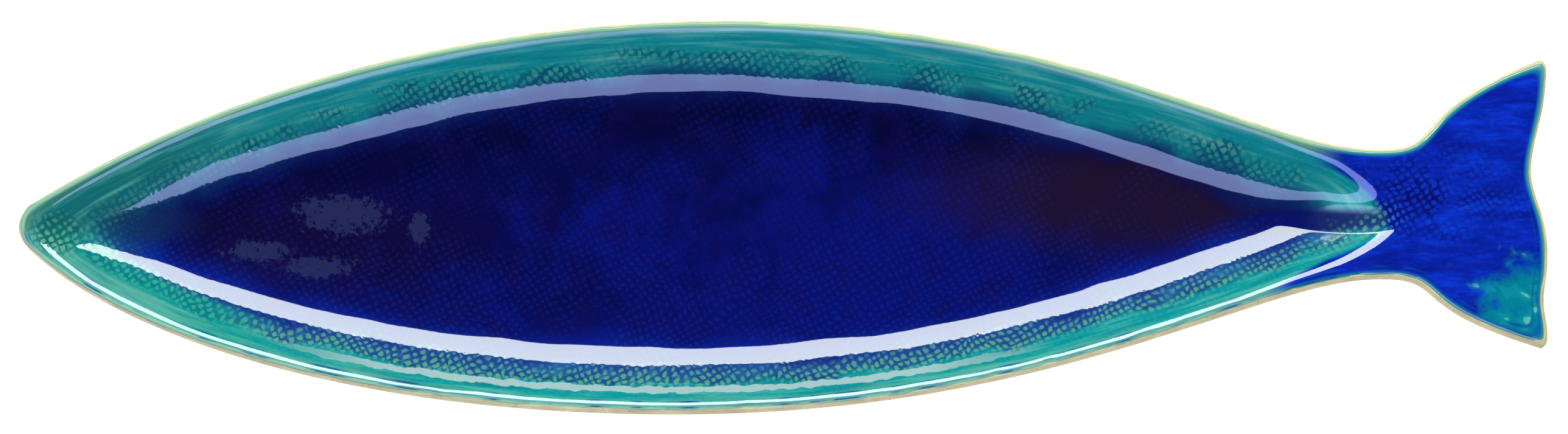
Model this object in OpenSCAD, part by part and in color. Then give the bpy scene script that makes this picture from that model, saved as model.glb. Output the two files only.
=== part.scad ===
// Fish-shaped stoneware platter: a long pressed bowl that narrows to a flat tail,
// standing on an oval foot ring, glazed on its upper face only.
// The origin is on the table under the middle of the platter.
// X runs from the nose to the tail, Y across the fish, and Z up.

/* [Outline] */
// Length from the nose to the tips of the tail
platter_l = 430; // [340:5:520]
// Width across the belly
belly_w = 111; // [90:1:150]
// Distance from the nose to the widest place
belly_from_nose = 185; // [150:1:220]
// Width of the blunt end of the nose
nose_w = 12.4; // [8:0.2:20]
// How far the nose bows out past its two corners
nose_bow = 3; // [1:0.25:5]
// How far the nose sits below the middle line
nose_drop = 2.8; // [0:0.2:8]
// Width of the neck in front of the tail
neck_w = 36.8; // [28:0.4:50]
// Distance from the neck to the tips of the tail
tail_l = 51; // [42:1:60]
// How far the neck sits above the middle line
neck_rise = 0.8; // [0:0.2:4]
// Width across the two tips of the tail
tail_w = 80.4; // [60:0.4:100]
// How far the tail sits above the middle line
tail_rise = 3.7; // [0:0.1:8]
// How far the trailing edge bows out past the tips
tail_bow = 3; // [1:0.25:5]
// Depth of the notch in the trailing edge
notch_depth = 4.6; // [0:0.2:7]

/* [Section] */
// Thickness of the pressed slab
clay_t = 5; // [3.5:0.25:7]
// Depth from the middle of the slab at the rim to the same at the floor
bowl_depth = 15; // [10:0.5:22]
// Width of the curved wall, seen from above
wall_run = 32; // [24:0.5:36]
// Width of the lip, where the flat rim turns down into the wall
lip_run = 6; // [3:0.25:9]

/* [Tail end of the bowl] */
// Distance from the point where the bowl closes to the tips of the tail
bowl_end_from_tips = 38; // [32:1:50]
// How far that point sits above the middle line
bowl_end_rise = 2; // [0:0.25:5]
// How fast the upper edge of the bowl closes, as width for length
upper_close = 0.55; // [0.45:0.01:0.8]
// How fast the lower edge closes
lower_close = 0.64; // [0.45:0.01:0.8]
// Length over which the rim bends away from the side of the fish
close_blend = 4; // [1:0.5:8]

/* [Foot ring] */
// Height of the foot
foot_h = 4; // [2:0.25:8]
// Length of the foot
foot_l = 200; // [150:1:210]
// Width across the foot
foot_w = 36; // [26:1:40]
// Width of the clay coil that the foot is made of
foot_coil_w = 5; // [3:0.25:8]
// How far the middle of the foot lies behind the widest place
foot_shift = 10; // [-20:1:30]

/* [Glaze] */
// Thickness of the turquoise coat
base_coat_t = 0.5; // [0.3:0.05:1]
// Thickness of the cobalt glaze pooled in the bowl
pool_t = 1.2; // [0.6:0.1:2]
// Thickness of the cobalt brushed on the tail
tail_coat_t = 0.4; // [0.2:0.05:1]

/* [Hidden] */

// Corners of the four places that the sides of the fish run between, each as
// x, y of the upper side and y of the lower side
nose_x = -platter_l / 2;
nose = [nose_x + nose_bow, nose_w / 2 - nose_drop, -nose_w / 2 - nose_drop];
belly = [nose_x + belly_from_nose, belly_w / 2, -belly_w / 2];
neck = [platter_l / 2 - tail_l, neck_w / 2 + neck_rise, neck_rise - neck_w / 2];
tail = [platter_l / 2 - tail_bow, tail_w / 2 + tail_rise, tail_rise - tail_w / 2];

// The two handles of each smooth run between them, as shares of the way from
// one place to the next: along x, then for the upper and the lower side
head_handle_shares = [[0.125, 0.47], [0.28, 0.93], [0.46, 1]];
flank_handle_shares = [[0.52, 0.835], [-0.1, 0.96], [0, 0.96]];
fin_handle_shares = [[0.54, 0.15], [-0.05, 0.33], [-0.06, 0.33]];

// Where the cross sections stand, as shares of each run
head_station_shares = [0, 0.004, 0.018, 0.04, 0.075, 0.12, 0.18, 0.25, 0.33, 0.42, 0.52, 0.63, 0.75, 0.88];
flank_station_shares = [0, 0.06, 0.12, 0.19, 0.27, 0.36, 0.45, 0.54, 0.62, 0.69, 0.76, 0.82, 0.88, 0.94];
fin_station_shares = [0, 0.08, 0.17, 0.27, 0.37, 0.47, 0.56, 0.65, 0.73, 0.8, 0.86, 0.91, 0.95, 0.975,
    0.992, 0.998, 1];

// How far the lines along the fish lie from its side, the first as shares of
// the radius of the edge and the others as shares of the wall's width
edge_line_shares = [0, 0.12, 0.5, 1];
wall_line_shares = [0.14, 0.21, 0.31, 0.44, 0.6, 0.8, 1.1, 1.7, 3.2];

// The notch, as shares of the trailing edge from its lower tip
notch_middle_share = 0.62;
notch_reach_share = 0.165;
// Squareness of the trailing edge's two tips
tip_power = 8;
// How far in from the end of the fish its bow is felt
nose_bow_reach = nose_w;
tail_bow_reach = tail_w / 6;

// Radius of the rounded edge of the slab, and the part of it cut square
edge_r = clay_t / 2;
edge_land_share = 0.15;
// Sharpness of the keels where the two walls meet at the nose and the tail
keel_power = 6;
// Most that the slab's upright thickness grows to where it leans
most_lean_ratio = 1.8;
// Height of the middle of the slab at the rim
rim_z = foot_h + clay_t / 2 + bowl_depth;

// A glaze thins out over this many lines towards its edge
feather_lines = 3;
// How many lines each coat stops short of the edge of the clay
base_coat_inset_lines = 2;
tail_coat_inset_lines = 4;
pool_inset_lines = 9;
// First and last cross section that the pooled glaze reaches
pool_ends_shares = [0.11, 0.62];
// Cross section where the brushed tail starts
tail_coat_start_share = 0.7;

// Sides of the foot ring's polygon
foot_sides = 72;

// Share of the way along a smooth run with handles h, at share t of it
function ease(h, t) = 3 * pow(1 - t, 2) * t * h[0] + 3 * (1 - t) * t * t * h[1] + t * t * t;
function run(a, b, handles, shares) =
    [for (t = shares) [for (k = [0:2]) a[k] + (b[k] - a[k]) * ease(handles[k], t)]];

// Cross sections from the nose to the tail: x, upper y and lower y
stations = concat(
    run(nose, belly, head_handle_shares, head_station_shares),
    run(belly, neck, flank_handle_shares, flank_station_shares),
    run(neck, tail, fin_handle_shares, fin_station_shares)
);
last_station = len(stations) - 1;

line_offsets = concat(edge_line_shares * edge_r, wall_line_shares * wall_run);
last_line = 2 * len(line_offsets);

// Smaller of a and b, with the corner between them rounded over k
function soft_min(a, b, k) = (a + b) / 2 - sqrt(pow((a - b) / 2, 2) + k * k / 4);

// Upper and lower edge of the bowl at each cross section
bowl_end_x = platter_l / 2 - bowl_end_from_tips;
bowl_edges = [for (s = stations) [
    soft_min(s[1], bowl_end_rise + upper_close * (bowl_end_x - s[0]), close_blend),
    -soft_min(-s[2], lower_close * (bowl_end_x - s[0]) - bowl_end_rise, close_blend)
]];

// Cosine of the slope that curve k of a table follows past cross section j
function slope_cos(table, k, j) =
    let (a = max(0, j - 1), b = min(last_station, j + 1))
    let (slope = (table[b][k] - table[a][k]) / (stations[b][0] - stations[a][0]))
    1 / sqrt(1 + slope * slope);
side_cos = [for (j = [0:last_station]) [slope_cos(stations, 1, j), slope_cos(stations, 2, j)]];
bowl_cos = [for (j = [0:last_station]) [slope_cos(bowl_edges, 0, j), slope_cos(bowl_edges, 1, j)]];

// Distance of line i from its side at a cross section whose half width is h
function line_in(i, h) =
    i * 2 == last_line ? h : let (a = line_offsets[min(i, last_line - i)]) a * h / (a + h);
function line_y(j, i) =
    let (s = stations[j], e = line_in(i, (s[1] - s[2]) / 2))
    i * 2 <= last_line ? s[2] + e : s[1] - e;

// The bowed ends, at share v of the way up the end
function nose_out(v) = nose_bow * (1 - pow(2 * v - 1, 2));
function tail_out(v) = tail_bow * (1 - pow(abs(2 * v - 1), tip_power))
    - notch_depth * exp(-pow((v - notch_middle_share) / notch_reach_share, 2));
function fade(d, reach) = pow(max(0, 1 - d / reach), 2);

// Depth of the slab below the rim, at distance d inside the edge of the bowl
function bowl_depth_at(d) =
    let (r = d <= 0 ? 0 : d < lip_run ? d * d / (2 * lip_run) : d - lip_run / 2)
    bowl_depth * (1 - pow(1 - min(1, r / wall_run), 2));
// Distance to the nearest of several edges, with a rounded keel between them
function keel_distance(ds) =
    min(ds) <= 0 ? min(ds) : wall_run * pow(keel_sum(ds), -1 / keel_power);
function keel_sum(ds) = [for (d = ds) pow(d / wall_run, -keel_power)] * [for (d = ds) 1];

// One place on the middle of the slab: x, y, z and its share of the thickness
function middle(j, i) =
    let (s = stations[j], y = line_y(j, i), v = (y - s[2]) / (s[1] - s[2]))
    let (nose_edge = nose[0] - nose_out(v), tail_edge = tail[0] + tail_out(v))
    let (x = s[0] - nose_out(v) * fade(s[0] - nose[0], nose_bow_reach)
        + tail_out(v) * fade(tail[0] - s[0], tail_bow_reach))
    let (up = (bowl_edges[j][0] - y) * bowl_cos[j][0])
    let (down = (y - bowl_edges[j][1]) * bowl_cos[j][1])
    let (side = min((s[1] - y) * side_cos[j][0], (y - s[2]) * side_cos[j][1]))
    let (end = min(x - nose_edge, tail_edge - x))
    let (edge = side <= 0 || end <= 0 ? 0 : side * end / norm([side, end]))
    let (round = 1 - pow(1 - min(1, edge / edge_r), 2))
    [x, y, rim_z - bowl_depth_at(keel_distance([up, down, x - nose_edge])),
        sqrt(max(round, edge_land_share * edge_land_share))];

slab = [for (j = [0:last_station]) [for (i = [0:last_line]) middle(j, i)]];
function place(j, i) = [for (k = [0:2]) slab[j][i][k]];

// Upright thickness of a layer for its true thickness, where the slab leans
function lean(j, i) =
    let (along = place(min(last_station, j + 1), i) - place(max(0, j - 1), i))
    let (across = place(j, min(last_line, i + 1)) - place(j, max(0, i - 1)))
    let (n = cross(along, across))
    min(most_lean_ratio, norm(n) / n[2]);
leans = [for (j = [0:last_station]) [for (i = [0:last_line]) lean(j, i)]];

// Each glaze covers a zone: first and last cross section, first and last line
function inset_zone(ends, inset) = [ends[0], ends[1], inset, last_line - inset];
body_zone = inset_zone([0, last_station], 0);
base_zone = inset_zone([base_coat_inset_lines, last_station - base_coat_inset_lines], base_coat_inset_lines);
pool_zone = inset_zone([for (s = pool_ends_shares) round(s * last_station)], pool_inset_lines);
tail_zone = inset_zone([round(tail_coat_start_share * last_station), last_station - tail_coat_inset_lines],
    tail_coat_inset_lines);

function inside(zone, j, i) = min(j - zone[0], zone[1] - j, i - zone[2], zone[3] - i);
function feather(zone, j, i) = max(0, min(1, (1 + inside(zone, j, i)) / feather_lines));

// Heights of the faces of the slab and of the glazes, from the middle of the slab
under_face = function (j, i) -edge_r * slab[j][i][3];
clay_face = function (j, i) edge_r * slab[j][i][3];
base_face = function (j, i) clay_face(j, i) + base_coat_t * feather(base_zone, j, i);
pool_face = function (j, i) base_face(j, i) + pool_t * feather(pool_zone, j, i);
tail_face = function (j, i) base_face(j, i) + tail_coat_t * feather(tail_zone, j, i);
function face(zone, height) = [for (j = [zone[0]:zone[1]]) [for (i = [zone[2]:zone[3]])
    place(j, i) + [0, 0, height(j, i) * leans[j][i]]]];

// A closed layer between two faces that have their corners above each other
module layer(low, high) {
    rows = len(low);
    lines = len(low[0]);
    function at(j, i) = j * lines + i;
    top = rows * lines;
    // Corners of the rim of the layer, in order round it
    rim = concat(
        [for (j = [0:rows - 2]) at(j, 0)],
        [for (i = [0:lines - 2]) at(rows - 1, i)],
        [for (j = [rows - 1:-1:1]) at(j, lines - 1)],
        [for (i = [lines - 1:-1:1]) at(0, i)]
    );
    faces = concat(
        [for (j = [0:rows - 2], i = [0:lines - 2])
            each [[at(j, i), at(j + 1, i), at(j + 1, i + 1)], [at(j, i), at(j + 1, i + 1), at(j, i + 1)]]],
        [for (j = [0:rows - 2], i = [0:lines - 2])
            each [[at(j, i) + top, at(j + 1, i + 1) + top, at(j + 1, i) + top],
                [at(j, i) + top, at(j, i + 1) + top, at(j + 1, i + 1) + top]]],
        [for (k = [0:len(rim) - 1]) let (p = rim[k], q = rim[(k + 1) % len(rim)])
            each [[p, p + top, q + top], [p, q + top, q]]]
    );
    polyhedron([for (r = concat(low, high)) each r], faces);
}

module stoneware_body() {
    color("tan")
        layer(face(body_zone, under_face), face(body_zone, clay_face));
}

// The foot is a coil of clay laid in an oval and pressed on under the floor
module foot_ring() {
    function oval(inset) = [for (k = [0:foot_sides - 1]) let (a = 360 * k / foot_sides)
        [(foot_l / 2 - inset) * cos(a), (foot_w / 2 - inset) * sin(a)]];
    color("burlywood")
        translate([belly[0] + foot_shift, 0, 0])
            linear_extrude(foot_h)
                difference() {
                    polygon(oval(0));
                    polygon(oval(foot_coil_w));
                }
}

module turquoise_base_coat() {
    color("darkcyan")
        layer(face(base_zone, clay_face), face(base_zone, base_face));
}

module cobalt_well_pool() {
    color("midnightblue")
        layer(face(pool_zone, base_face), face(pool_zone, pool_face));
}

module cobalt_tail_coat() {
    color("mediumblue")
        layer(face(tail_zone, base_face), face(tail_zone, tail_face));
}

stoneware_body();
foot_ring();
turquoise_base_coat();
cobalt_well_pool();
cobalt_tail_coat();
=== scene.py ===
# %% [markdown]
# # A fish-shaped platter in glazed stoneware
# The platter is a slab of buff clay pressed over a long mould through coarse sacking,
# trimmed to a fish, set on an oval foot and glazed on its upper face only.
# The construction comes ready made as a fixed frame, at its real size, and each step
# below dresses one part of it: the clay, the foot, the three glazes and the light.

# %% Load the frame
import math
from types import SimpleNamespace

import bpy
import numpy as np
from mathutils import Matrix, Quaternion, Vector, noise


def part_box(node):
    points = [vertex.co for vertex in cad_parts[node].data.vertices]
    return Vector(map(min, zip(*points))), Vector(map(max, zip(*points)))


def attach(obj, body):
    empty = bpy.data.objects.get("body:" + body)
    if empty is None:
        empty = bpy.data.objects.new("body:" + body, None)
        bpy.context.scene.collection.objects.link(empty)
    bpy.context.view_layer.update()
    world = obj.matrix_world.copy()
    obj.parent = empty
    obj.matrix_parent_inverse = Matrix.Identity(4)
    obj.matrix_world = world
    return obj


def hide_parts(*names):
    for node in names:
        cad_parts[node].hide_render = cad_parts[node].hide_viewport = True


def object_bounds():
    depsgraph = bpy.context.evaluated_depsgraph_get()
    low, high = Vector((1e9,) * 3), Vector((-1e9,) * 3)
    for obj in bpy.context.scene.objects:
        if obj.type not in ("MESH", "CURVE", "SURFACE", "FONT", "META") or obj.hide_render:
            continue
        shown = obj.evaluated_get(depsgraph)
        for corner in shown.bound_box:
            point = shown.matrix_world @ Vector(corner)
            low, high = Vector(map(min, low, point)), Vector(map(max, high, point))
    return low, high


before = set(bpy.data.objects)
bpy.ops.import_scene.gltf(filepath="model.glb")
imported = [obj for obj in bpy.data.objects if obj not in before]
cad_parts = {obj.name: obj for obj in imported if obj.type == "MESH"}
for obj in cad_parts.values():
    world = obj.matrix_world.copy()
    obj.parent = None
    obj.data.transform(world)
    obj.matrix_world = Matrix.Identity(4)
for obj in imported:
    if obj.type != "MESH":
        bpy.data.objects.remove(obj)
cad_low, cad_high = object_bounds()
MM = 0.001
print("frame", [round(side / MM, 1) for side in cad_high - cad_low], "mm")

# %% [markdown]
# ## The outline
# A cut outline is four places joined by smooth curves. Each curve is a cubic with two
# handles, given as shares of the way along, so the same few numbers hold for a longer or
# wider fish. The length and the width come from the frame, and the ends have a bow.

# %% Outline of the fish
body_low, body_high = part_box("stoneware_body")
nose_x = body_low.x
belly_half_w = -body_low.y
BELLY_FROM_NOSE = 185 * MM
NOSE_W, NOSE_BOW, NOSE_DROP = 12.4 * MM, 3 * MM, 2.8 * MM
NECK_W, NECK_RISE, TAIL_L = 36.8 * MM, 0.8 * MM, 51 * MM
TAIL_W, TAIL_RISE, TAIL_BOW = 81.6 * MM, 3.8 * MM, 2 * MM

nose = np.array([nose_x + NOSE_BOW, NOSE_W / 2 - NOSE_DROP, -NOSE_W / 2 - NOSE_DROP])
belly = np.array([nose_x + BELLY_FROM_NOSE, belly_half_w, -belly_half_w])
neck = np.array([-nose_x - TAIL_L, NECK_RISE + NECK_W / 2, NECK_RISE - NECK_W / 2])
tail = np.array([-nose_x - TAIL_BOW, TAIL_RISE + TAIL_W / 2, TAIL_RISE - TAIL_W / 2])
HEAD_HANDLES = np.array([[0.125, 0.47], [0.28, 0.93], [0.475, 1.005]])
FLANK_HANDLES = np.array([[0.54, 0.835], [-0.09, 0.96], [0, 0.96]])
FIN_HANDLES = np.array([[0.50, 0.15], [-0.05, 0.37], [-0.06, 0.39]])


def run(start, end, handles, shares):
    """Places along one smooth curve: x, upper y and lower y for each share of the way."""
    t = np.asarray(shares)[:, None]
    way = 3 * (1 - t) ** 2 * t * handles[:, 0] + 3 * (1 - t) * t**2 * handles[:, 1] + t**3
    return start + (end - start) * way


print("outline from", (nose / MM).round(1), "to", (tail / MM).round(1), "mm")

# %% [markdown]
# ## Cross sections
# A grid needs its rows where the form turns. They stand about a millimetre apart along
# the fish, closer on the fins, and crowd together where both ends round over.

# %% Rows of the grid
# The last share of the head and of the fin, in which the edge rounds over, and the crowding on the fin
NOSE_END_SHARE, TAIL_END_SHARE, FIN_CROWDING = 0.037, 0.0205, 1.4


def stations(step, edge_shares):
    """Cross sections about a step apart, drawn close together where both ends round over."""
    nose_end = NOSE_END_SHARE * np.asarray(edge_shares)
    tail_end = 1 - TAIL_END_SHARE * np.asarray(edge_shares)[::-1]
    head = np.linspace(nose_end[-1], 1, int((belly[0] - nose[0]) / step))[1:-1]
    flank = np.linspace(0, 1, int((neck[0] - belly[0]) / step))[:-1]
    fin = np.linspace(0, tail_end[0], int(FIN_CROWDING * (tail[0] - neck[0]) / step))[:-1]
    return np.vstack([
        run(nose, belly, HEAD_HANDLES, np.concatenate([nose_end, head])),
        run(belly, neck, FLANK_HANDLES, flank),
        run(neck, tail, FIN_HANDLES, np.concatenate([fin, tail_end])),
    ])


GRID_STEP = 1.1 * MM
EDGE_STEPS = 8
turn = np.linspace(0, math.pi / 2, EDGE_STEPS + 1)
fine_rows = stations(GRID_STEP, 1 - np.cos(turn))
print(len(fine_rows), "rows")

# %% [markdown]
# ## The grid seen from above
# Across the fish the lines keep their distance from both sides, so they follow the edge.
# The nose bows out in an arc. The tail's edge is almost straight, slants a little and
# has two notches, which a smooth dip in the rows gives without a cut.

# %% Places in plan
TIP_POWER, TAIL_SLANT = 40, 0.7 * MM
TAIL_BOW_REACH = TAIL_W / 6
# Each notch in the tail: its middle as a share of the edge, its depth and its reach below and above
NOTCHES = ((0.61, 4.7 * MM, 0.15, 0.20), (0.165, 1.3 * MM, 0.09, 0.09))


def bows(v):
    """How far the nose and the tail bow out at each share of the way up a row."""
    nose_out = NOSE_BOW * (1 - (2 * v - 1) ** 2)
    tail_out = TAIL_BOW * (1 - np.abs(2 * v - 1) ** TIP_POWER) - TAIL_SLANT * (1 - v)
    for share, depth, below, above in NOTCHES:
        tail_out -= depth * np.exp(-(((v - share) / np.where(v < share, below, above)) ** 2))
    return nose_out, tail_out


def plan(rows, offsets):
    """Corners of the grid from above, their share up the row and their distance from both ends."""
    row_x, top, bottom = rows[:, :1], rows[:, 1:2], rows[:, 2:]
    half = (top - bottom) / 2
    inner = offsets[:-1] * half / (offsets[:-1] + half)
    low_side = np.concatenate([inner, half], axis=1)
    y = np.concatenate([bottom + low_side, top - inner[:, ::-1]], axis=1)
    v = (y - bottom) / (2 * half)
    nose_out, tail_out = bows(v)
    x = row_x - nose_out * np.maximum(0, 1 - (row_x - nose[0]) / NOSE_W) ** 2
    x = x + tail_out * np.maximum(0, 1 - (tail[0] - row_x) / TAIL_BOW_REACH) ** 2
    return x, y, v, x - (nose[0] - nose_out), tail[0] + tail_out - x


def edge_offsets(radius, steps, line_step):
    """Distances of the lines from the side: close together round the edge, then even."""
    turn = np.linspace(0, math.pi / 2, steps + 1)
    flat = np.arange(radius + line_step, belly_half_w - line_step / 2, line_step)
    across = np.concatenate([radius * (1 - np.cos(turn)), flat])
    return np.append(across * belly_half_w / (belly_half_w - across), np.inf)


EDGE_R = 1.5 * MM
fine_offsets = edge_offsets(EDGE_R, EDGE_STEPS, GRID_STEP)
print(2 * len(fine_offsets) - 1, "lines")

# %% [markdown]
# ## The form of the slab
# The whole platter is one curved slab, so one height rule serves every piece: flat at
# the rim and on the tail, a lip that turns down, a curved wall and a level floor.
# The rule works on whole arrays, because a free form like this is quicker and truer
# when each corner of a grid is set by the rule than when it is pulled about by hand.
# First comes how far a place lies inside the edge of the bowl. Both sides and both ends
# give a distance, and the least of them counts, with a soft change from one to another.

# %% Distance into the bowl
# The floor climbs to both ends: where each ramp starts, and its climb for each unit of length
NOSE_FLOOR, NOSE_RAMP, NOSE_BLEND = 5.8 * MM, 0.37, 2.6 * MM
TAIL_FLOOR, TAIL_RAMP, RAMP_BLEND = 1.7 * MM, 0.467, 3.8 * MM
# Where the bowl closes at the tail, and how its two sides open from there
END_FROM_TIPS, END_RISE, END_BLEND = 37.4 * MM, 1.9 * MM, 1.5 * MM
END_REACH, END_FLARE = 30 * MM, 0.34
UPPER_SPREAD, UPPER_POWER = 22 * MM, 0.656
LOWER_SPREAD, LOWER_POWER = 21.6 * MM, 0.438
# The keel between the two walls is tighter at the tail, and the upper side's crease there is sharp
KEEL_BLEND, TAIL_KEEL_BLEND, TAIL_KEEL_X = 3.3 * MM, 1.2 * MM, (130 * MM, 155 * MM)
CREASE_BLEND, CREASE_HALF_W, CREASE_X = 0.3 * MM, 6 * MM, (118 * MM, 136 * MM)


def smooth_step(value, start, end):
    """A share that rises from none at start to all at end, and eases in and out."""
    t = np.clip((value - start) / (end - start), 0, 1)
    return t * t * (3 - 2 * t)


def soft_min(a, b, blend):
    """The lesser of two distances, rounded over where they are about alike."""
    return (a + b) / 2 - np.sqrt(((a - b) / 2) ** 2 + blend**2 / 4)


def opening(close_x, spread, power):
    """Half the width of the bowl at a distance from where it closes."""
    near = np.maximum(close_x, 0) / END_REACH
    wider = 1 + END_FLARE * np.maximum(0, near - 1) ** 2
    return np.where(close_x > 0, spread * near**power * wider, close_x)


def cosine(line_y, row_x):
    """For each row, the cosine of the angle between a line of the outline and the fish's length."""
    return 1 / np.hypot(1, np.gradient(line_y, row_x))[:, None]


def into_bowl(rows, y, nose_in):
    """Distance inside the edge of the bowl, negative outside it."""
    row_x, top, bottom = rows[:, :1], rows[:, 1:2], rows[:, 2:]
    close_x = -nose_x - END_FROM_TIPS - row_x
    upper = soft_min(top, END_RISE + opening(close_x, UPPER_SPREAD, UPPER_POWER), END_BLEND)
    lower = -soft_min(-bottom, opening(close_x, LOWER_SPREAD, LOWER_POWER) - END_RISE, END_BLEND)
    up = (upper - y) * cosine(upper[:, 0], rows[:, 0])
    down = (y - lower) * cosine(lower[:, 0], rows[:, 0])
    nose_ramp = soft_min(nose_in, NOSE_FLOOR + NOSE_RAMP * nose_in, NOSE_BLEND)
    ramp = soft_min(nose_ramp, TAIL_FLOOR + TAIL_RAMP * close_x, RAMP_BLEND)
    sharp = smooth_step(up - down, -CREASE_HALF_W, CREASE_HALF_W) * smooth_step(row_x, *CREASE_X)
    ramp_blend = RAMP_BLEND + (CREASE_BLEND - RAMP_BLEND) * sharp
    keel_blend = KEEL_BLEND + (TAIL_KEEL_BLEND - KEEL_BLEND) * smooth_step(row_x, *TAIL_KEEL_X)
    return soft_min(soft_min(up, down, keel_blend), ramp, ramp_blend)


print("the bowl closes", round(END_FROM_TIPS / MM, 1), "mm before the tips of the tail")

# %% [markdown]
# ## From distance to depth
# The lip turns over in a short round, the wall falls steeply and eases out into the
# floor. At the tail the lip's round is wider, so the bowl runs out more gently.

# %% Height of the slab
SLAB_T = 5 * MM
BOWL_DEPTH, WALL_RUN, WALL_POWER = 15 * MM, 29.5 * MM, 1.46
RIM_FLAT, LIP_RUN = 0.4 * MM, 2.6 * MM
TAIL_LIP, TAIL_LIP_X = 5.5 * MM, (130 * MM, 174 * MM)
NOSE_LIP, NOSE_LIP_IN = 2.8 * MM, (16 * MM, 3 * MM)
# The slab's upright thickness is limited where it leans most, and these keep a division from zero
MOST_LEAN, TINY_LENGTH, TINY_AREA = 1.8, 1e-9, 1e-12
rim_z = body_high.z - SLAB_T / 2


def bowl_depth_at(d, lip):
    """Depth below the rim at a distance inside the edge of the bowl."""
    way = lip * np.log(np.cosh(np.maximum(d - RIM_FLAT, 0) / lip)) / WALL_RUN
    way = np.minimum(1, way)
    return BOWL_DEPTH * ((WALL_POWER + 1) * way - way ** (WALL_POWER + 1)) / WALL_POWER


def slab(rows, offsets):
    """The middle of the slab on a grid, with distances from the side and into the bowl."""
    x, y, v, nose_in, tail_in = plan(rows, offsets)
    bowl = into_bowl(rows, y, nose_in)
    lip = LIP_RUN + (TAIL_LIP - LIP_RUN) * smooth_step(rows[:, :1], *TAIL_LIP_X)
    lip = lip + (NOSE_LIP - LIP_RUN) * smooth_step(nose_in, *NOSE_LIP_IN)
    from_top = (rows[:, 1:2] - y) * cosine(rows[:, 1], rows[:, 0])
    from_bottom = (y - rows[:, 2:]) * cosine(rows[:, 2], rows[:, 0])
    side = np.maximum(0, np.minimum(from_top, from_bottom))
    end = np.maximum(0, np.minimum(nose_in, tail_in))
    edge = side * end / np.maximum(np.hypot(side, end), TINY_LENGTH)
    return x, y, rim_z - bowl_depth_at(bowl, lip), edge, bowl, v


def lean(x, y, z):
    """Upright thickness for a true thickness of one, where the slab leans."""
    points = np.stack([x, y, z], axis=-1)
    n = np.cross(np.gradient(points, axis=0), np.gradient(points, axis=1))
    return np.minimum(MOST_LEAN, np.linalg.norm(n, axis=-1) / np.maximum(n[..., 2], TINY_AREA))


x, y, z, edge, bowl, v = slab(fine_rows, fine_offsets)
slab_lean = lean(x, y, z)
print("rim at", round(rim_z / MM, 1), "mm, floor", round((rim_z - BOWL_DEPTH) / MM, 1), "mm")

# %% [markdown]
# ## A sheet from a grid
# A grid is the right start for a skin with a few thousand even faces. Blender's own
# grid has its corners in rows, so each corner can be sent straight to its place.


# %% A grid that takes the form
def deselect():
    bpy.ops.object.select_all(action="DESELECT")


def flip(sheet):
    """Turns the faces of the active sheet over."""
    bpy.ops.object.mode_set(mode="EDIT")
    bpy.ops.mesh.select_all(action="SELECT")
    bpy.ops.mesh.flip_normals()
    bpy.ops.object.mode_set(mode="OBJECT")
    return sheet


def skin(name, x, y, z):
    """A grid of faces that look up, one corner for each entry of the arrays."""
    deselect()
    rows, lines = x.shape
    size = float(body_high.x - body_low.x)
    bpy.ops.mesh.primitive_grid_add(x_subdivisions=lines - 1, y_subdivisions=rows - 1, size=size)
    sheet = bpy.context.object
    sheet.name = sheet.data.name = name
    corners = np.stack([x, y, z], axis=-1)
    sheet.data.vertices.foreach_set("co", corners.astype(np.float32).ravel())
    sheet.data.update()
    flip(sheet)
    bpy.ops.object.shade_smooth()
    return sheet


print("a skin has", x.shape[0] - 1, "by", x.shape[1] - 1, "faces")

# %% [markdown]
# ## The clay body
# Hand pressing leaves the wall slightly wavy, and a mirror-like glaze shows every wave
# in the edges of its reflections. A little smooth noise in the heights gives that: it
# is real shape and not bump, so the reflections waver in every view.
# The edge is a half round wiped with a sponge, and the back is smoothed flatter.

# %% Unevenness of the pressed slab
# Wavelength and height of each wave in the clay, which stays even at the rim and evener on the tail
PRESSED_WAVES = ((42 * MM, 0.34 * MM), (21 * MM, 0.26 * MM), (8 * MM, 0.04 * MM))
EVEN_RIM, EVEN_TAIL, EVEN_TAIL_SHARE = 4 * MM, 10 * MM, 0.5
# Each wavelength reads its own layer of the noise
WAVE_LAYER = 7.3
ROUND_POWER = 2.4


def waves(x, y, scales):
    """Smooth noise in metres: each scale is its wavelength and its height."""
    heights = np.zeros(x.size)
    for number, (length, height) in enumerate(scales):
        heights += height * np.array([
            noise.noise(Vector((px / length, py / length, WAVE_LAYER * number)))
            for px, py in zip(x.ravel(), y.ravel())
        ])
    return heights.reshape(x.shape)


inward = np.clip(edge / EVEN_RIM, 0, 1) * (1 - EVEN_TAIL_SHARE * smooth_step(-bowl, 0, EVEN_TAIL))
uneven = inward * waves(x, y, PRESSED_WAVES)
half_t = SLAB_T / 2 * (1 - (1 - np.minimum(1, edge / EDGE_R)) ** ROUND_POWER) ** (1 / ROUND_POWER)
clay_top = z + half_t + uneven
print("uneven by", round(float(np.abs(uneven).max() / MM), 2), "mm at most")

# %% [markdown]
# ## One body from two faces
# The upper face and the back are two skins with the same outline. Joined as one
# object, with the doubled corners along the edge merged, they close into one body.

# %% Clay body
MERGE_WITHIN = 0.002 * MM
upper_face = skin("upper_face", x, y, clay_top)
flip(skin("under_face", x, y, z + half_t * (1 - 2 * slab_lean)))
upper_face.select_set(True)
bpy.context.view_layer.objects.active = upper_face
bpy.ops.object.join()
bpy.ops.object.mode_set(mode="EDIT")
bpy.ops.mesh.select_all(action="SELECT")
bpy.ops.mesh.remove_doubles(threshold=MERGE_WITHIN)
bpy.ops.object.mode_set(mode="OBJECT")
clay_body = upper_face
clay_body.name = clay_body.data.name = "pressed_clay_body"
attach(clay_body, "root")
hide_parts("stoneware_body")
print("clay body", len(clay_body.data.polygons), "faces")

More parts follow.
